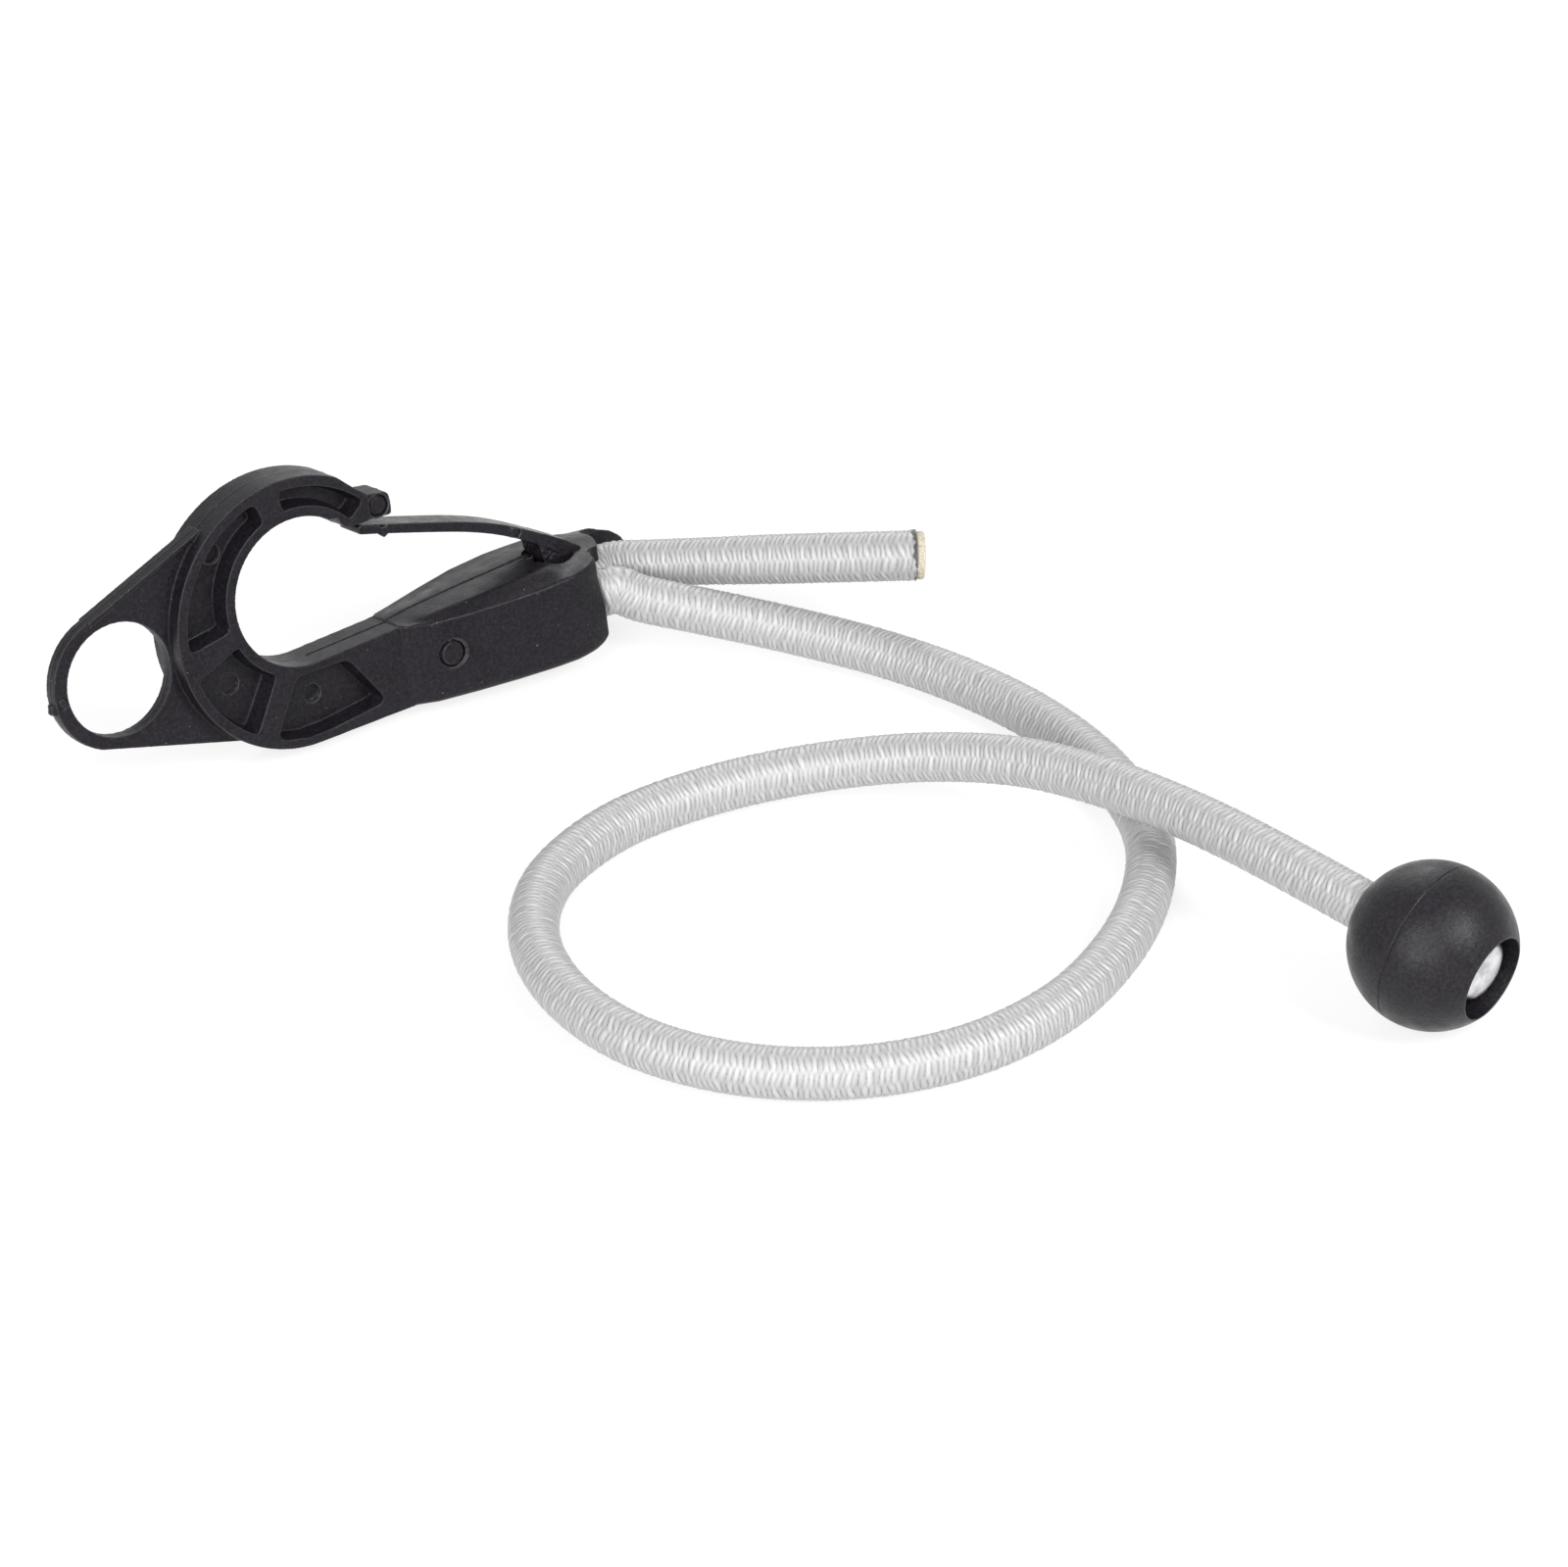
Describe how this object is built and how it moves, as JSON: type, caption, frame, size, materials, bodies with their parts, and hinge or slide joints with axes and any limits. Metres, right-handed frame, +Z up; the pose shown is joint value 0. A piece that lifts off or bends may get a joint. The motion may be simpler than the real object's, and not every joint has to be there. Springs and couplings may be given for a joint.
{
  "type": "bungee cord",
  "caption": "Elastic braided cord with a moulded snap hook whose springy gate closes its opening, a finger eye, a short tail out of the sleeve and a ball toggle on the far end.",
  "frame": {"origin": "middle of the bounding box at its bottom, on the surface that the part lies on", "axes": "+Z up, +X along the hook's shank from the finger eye to the sleeve, +Y from the ball to the hook"},
  "size_m": [0.1464, 0.1933, 0.0461],
  "materials": {
    "black_nylon": "matt, fine moulded grain",
    "ball_plastic": "smooth satin",
    "braid": "silky round braid",
    "core_rubber": "cut natural rubber",
    "cap_steel": "bright drawn metal"
  },
  "bodies": {
    "hook": {"hook_body": "black_nylon", "gate_anchor": "black_nylon", "held_sheath": "braid", "held_core": "core_rubber", "main_sheath": "braid", "main_core": "core_rubber", "tail_sheath": "braid", "tail_core": "core_rubber", "end_cap": "cap_steel"},
    "gate": {"gate_leaf": "black_nylon"},
    "ball": {"toggle_ball": "ball_plastic"}
  },
  "joints": [
    {"name": "gate_bend", "type": "hinge", "parent": "hook", "child": "gate", "pos_m": [0.02196, 0.08726, 0.01908], "axis": [0, -0.9816, 0.1908], "range_deg": [0, 16], "stiffness_Nm_per_rad": 0.3, "springref_deg": -2.86},
    {"name": "ball_spin", "type": "hinge", "parent": "hook", "child": "ball", "pos_m": [0.06045, -0.0843, 0.0128], "axis": [0.2228, -0.9649, -0.1392], "continuous": true}
  ]
}
